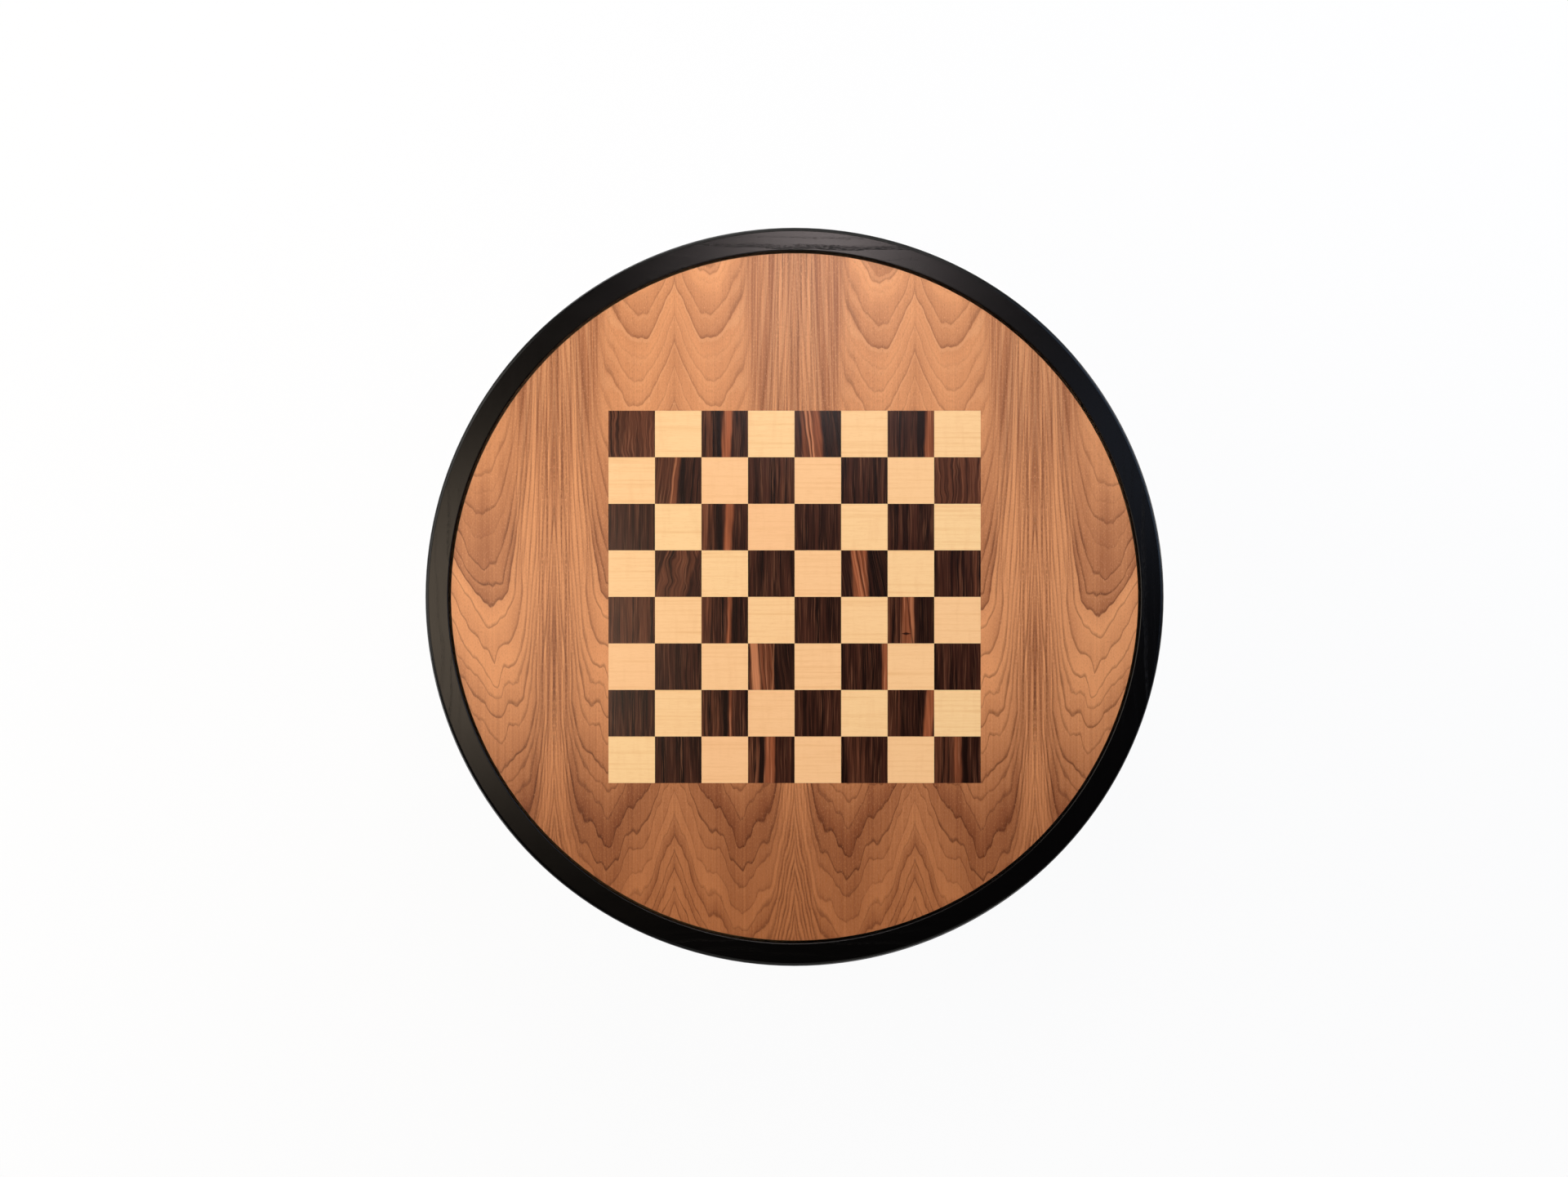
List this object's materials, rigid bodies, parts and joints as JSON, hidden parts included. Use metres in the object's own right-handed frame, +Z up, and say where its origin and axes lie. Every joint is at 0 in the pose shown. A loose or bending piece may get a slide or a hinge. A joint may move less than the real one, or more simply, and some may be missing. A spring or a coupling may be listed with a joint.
{
  "type": "round chess table",
  "caption": "Round chess table with a black wooden rim, a lift-out walnut panel inlaid with a chessboard, a curved apron and turned tapered legs.",
  "frame": {"origin": "on the floor under the middle of the table", "axes": "+Z up; +X and -X point to the two players, +Y to the picture's upper edge"},
  "size_m": [0.9, 0.9, 0.74],
  "materials": {
    "black_ash": "black stain, satin",
    "walnut": "satin lacquer",
    "ebony": "satin lacquer",
    "maple": "satin lacquer",
    "plywood": "bare, sanded",
    "core_board": "bare, sanded",
    "beech": "bare, planed",
    "felt": "pressed felt",
    "nylon": "moulded, matt",
    "steel": "zinc plated"
  },
  "bodies": {
    "frame": {"rim_segment_right": "black_ash", "apron_right": "black_ash", "rim_segment_back": "black_ash", "apron_back": "black_ash", "rim_segment_left": "black_ash", "apron_left": "black_ash", "rim_segment_front": "black_ash", "apron_front": "black_ash", "support_ring_back_right": "plywood", "leg_back_right": "black_ash", "glide_back_right": "nylon", "support_ring_back_left": "plywood", "leg_back_left": "black_ash", "glide_back_left": "nylon", "support_ring_front_left": "plywood", "leg_front_left": "black_ash", "glide_front_left": "nylon", "support_ring_front_right": "plywood", "leg_front_right": "black_ash", "glide_front_right": "nylon", "rim_splines": "beech", "rest_pads": "felt", "leg_screws": "steel", "apron_screws": "steel", "cross_rail_x": "black_ash", "cross_rail_y": "black_ash", "glide_nails": "steel"},
    "play_panel": {"panel_core": "core_board", "panel_edge_band": "walnut", "veneer_leaf_1": "walnut", "veneer_leaf_2": "walnut", "veneer_leaf_3_back": "walnut", "veneer_leaf_3_front": "walnut", "veneer_leaf_4_back": "walnut", "veneer_leaf_4_front": "walnut", "veneer_leaf_5": "walnut", "veneer_leaf_6": "walnut", "dark_squares": "ebony", "light_squares": "maple", "backing_veneer": "walnut"}
  },
  "joints": [
    {"name": "panel_lift", "type": "slide", "parent": "frame", "child": "play_panel", "axis": [0, 0, 1], "range_m": [0, 0.12]}
  ]
}
